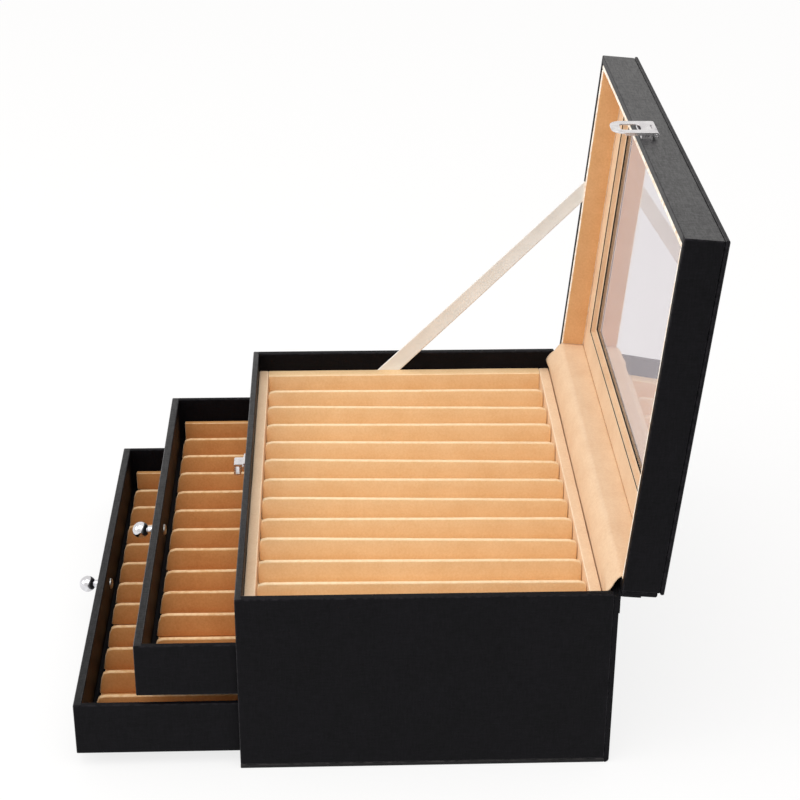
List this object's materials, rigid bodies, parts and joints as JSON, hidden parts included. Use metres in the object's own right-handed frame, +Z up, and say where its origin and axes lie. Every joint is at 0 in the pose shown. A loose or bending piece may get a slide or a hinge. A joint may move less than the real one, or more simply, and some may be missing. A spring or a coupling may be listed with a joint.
{
  "type": "pen collector chest",
  "caption": "Three-tier chest for pens: a slotted tray under a hinged glazed lid held by a ribbon, and slotted drawers with ball knobs that slide out of the front, with a hasp and staple latch.",
  "frame": {"origin": "middle of the base, on the surface that the chest stands on, lid open and drawers part way out", "axes": "+Z up, -Y the front that the drawers slide out of, +X to the right seen from the front, along the length"},
  "size_m": [0.3114, 0.3568, 0.3219],
  "materials": {
    "black_leatherette": "fine emboss, satin",
    "board_paper": "smooth matte cover",
    "beige_suede": "short flock",
    "cream_ribbon": "satin weave",
    "chrome": "polished",
    "clear_glass": "polished",
    "zinc_steel": "plated"
  },
  "bodies": {
    "case": {"end_wall_left": "black_leatherette", "end_wall_right": "black_leatherette", "back_wall": "black_leatherette", "front_rail": "black_leatherette", "base_board": "black_leatherette", "drawer_shelf": "black_leatherette", "tray_floor": "black_leatherette", "back_cover": "black_leatherette", "hinge_skin": "black_leatherette", "base_cover": "board_paper", "tray_pad": "beige_suede", "tray_front_strip": "beige_suede", "tray_back_strip": "beige_suede", "tray_left_strip": "beige_suede", "tray_right_strip": "beige_suede", "tray_dividers": "beige_suede", "hinge_lining": "beige_suede", "ribbon_stay": "cream_ribbon", "staple": "chrome", "staple_tacks": "chrome"},
    "lid": {"lid_front_wall": "black_leatherette", "lid_back_wall": "black_leatherette", "lid_left_wall": "black_leatherette", "lid_right_wall": "black_leatherette", "lid_top_board": "black_leatherette", "lid_back_board": "black_leatherette", "lid_inner_frame": "beige_suede", "window_bead": "beige_suede", "window_glass": "clear_glass", "lid_front_lining": "beige_suede", "lid_back_lining": "beige_suede", "lid_left_lining": "beige_suede", "lid_right_lining": "beige_suede", "hasp_base": "chrome", "hasp_rivets": "chrome", "hasp_pin": "chrome"},
    "hasp": {"hasp_flap": "chrome"},
    "upper_drawer": {"upper_drawer_front": "black_leatherette", "upper_drawer_back": "black_leatherette", "upper_drawer_left_side": "black_leatherette", "upper_drawer_right_side": "black_leatherette", "upper_drawer_bottom": "black_leatherette", "upper_drawer_pad": "beige_suede", "upper_drawer_left_liner": "beige_suede", "upper_drawer_right_liner": "beige_suede", "upper_drawer_dividers": "beige_suede", "upper_drawer_knob": "chrome", "upper_drawer_knob_screw": "zinc_steel"},
    "lower_drawer": {"lower_drawer_front": "black_leatherette", "lower_drawer_back": "black_leatherette", "lower_drawer_left_side": "black_leatherette", "lower_drawer_right_side": "black_leatherette", "lower_drawer_bottom": "black_leatherette", "lower_drawer_pad": "beige_suede", "lower_drawer_left_liner": "beige_suede", "lower_drawer_right_liner": "beige_suede", "lower_drawer_dividers": "beige_suede", "lower_drawer_knob": "chrome", "lower_drawer_knob_screw": "zinc_steel"}
  },
  "joints": [
    {"name": "lid_hinge", "type": "hinge", "parent": "case", "child": "lid", "pos_m": [0, 0.1051, 0.1114], "axis": [1, 0, 0], "range_deg": [0, 95.26], "deforming": ["ribbon_stay", "hinge_lining", "hinge_skin"]},
    {"name": "hasp_hinge", "type": "hinge", "parent": "lid", "child": "hasp", "pos_m": [-0.0032, 0.13426, 0.32011], "axis": [-1, 0, 0], "range_deg": [0, 165]},
    {"name": "upper_drawer_slide", "type": "slide", "parent": "case", "child": "upper_drawer", "axis": [0, -1, 0], "range_m": [-0.0563, 0.0937]},
    {"name": "lower_drawer_slide", "type": "slide", "parent": "case", "child": "lower_drawer", "axis": [0, -1, 0], "range_m": [-0.0917, 0.0583]}
  ]
}
